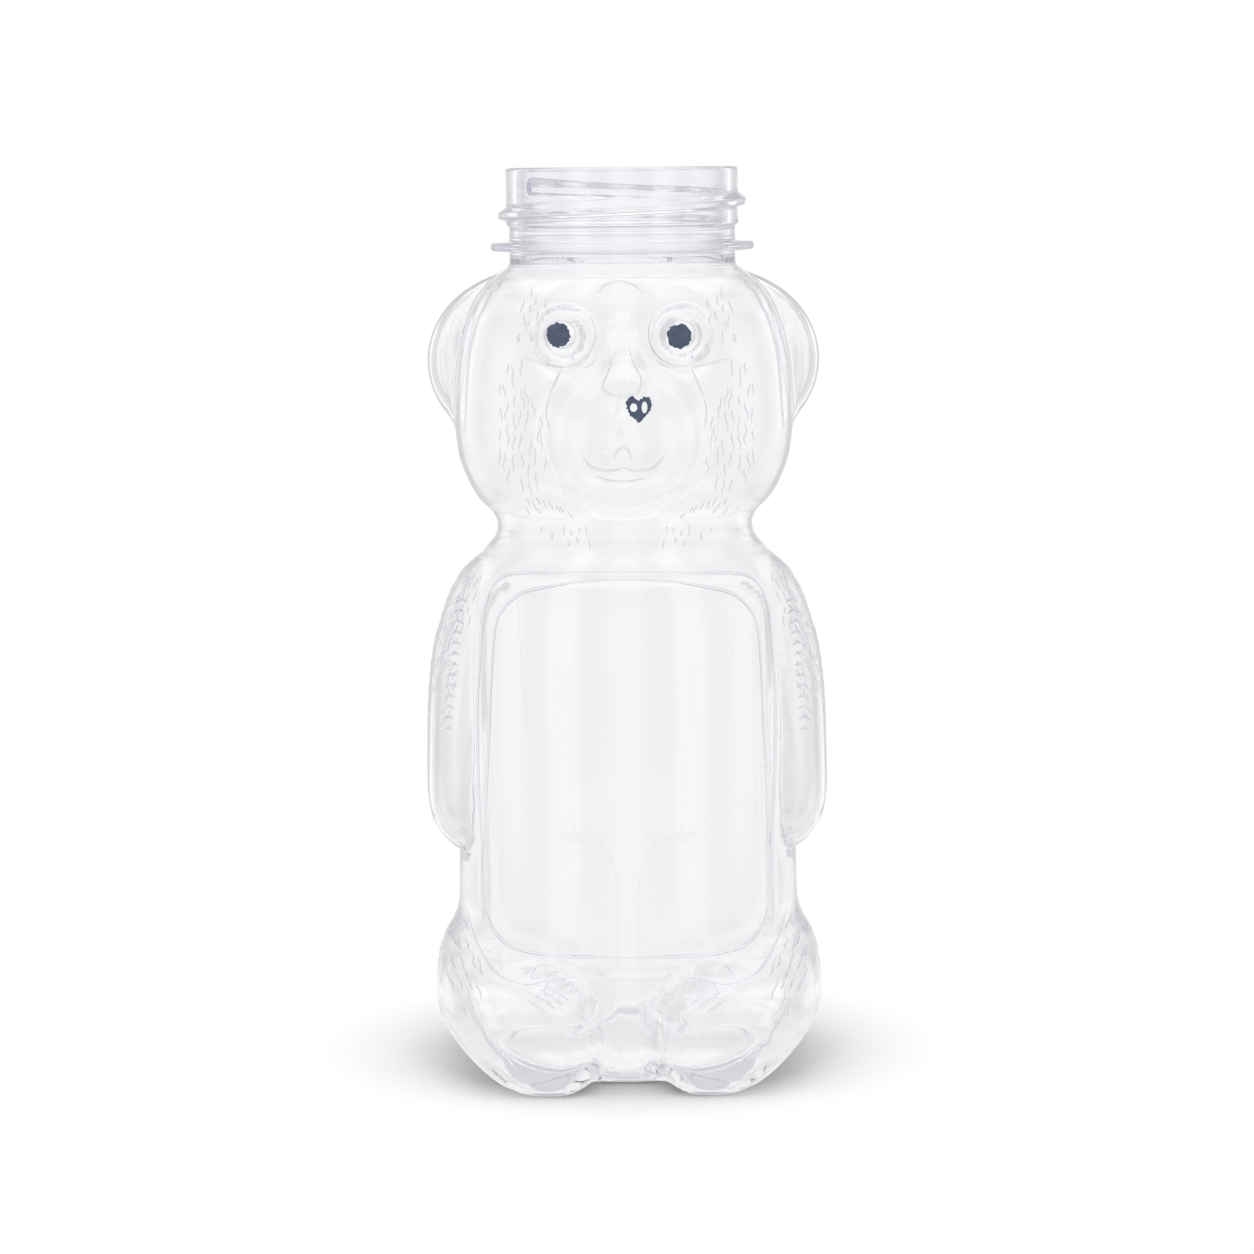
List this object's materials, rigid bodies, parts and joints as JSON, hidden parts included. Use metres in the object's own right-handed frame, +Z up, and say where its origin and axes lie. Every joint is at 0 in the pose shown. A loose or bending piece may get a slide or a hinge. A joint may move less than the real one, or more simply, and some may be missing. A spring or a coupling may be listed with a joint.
{
  "type": "bear-shaped squeeze bottle",
  "caption": "Clear blow-moulded plastic honey bottle shaped as a standing bear, with an open screw neck, a bare recessed label panel and printed eyes and nose.",
  "frame": {"origin": "on the axis of the neck, on the surface that the bottle stands on", "axes": "+Z up along the neck axis, out of the mouth; the bear faces -Y; +X is to the viewer's right"},
  "size_m": [0.0612, 0.06, 0.1345],
  "materials": {
    "clear_pet": "clear, glossy, blow-moulded",
    "slate_ink": "screen-printed, satin"
  },
  "bodies": {
    "root": {"neck_finish": "clear_pet", "bear_body": "clear_pet", "left_eye_print": "slate_ink", "right_eye_print": "slate_ink", "nose_print": "slate_ink"}
  },
  "joints": []
}
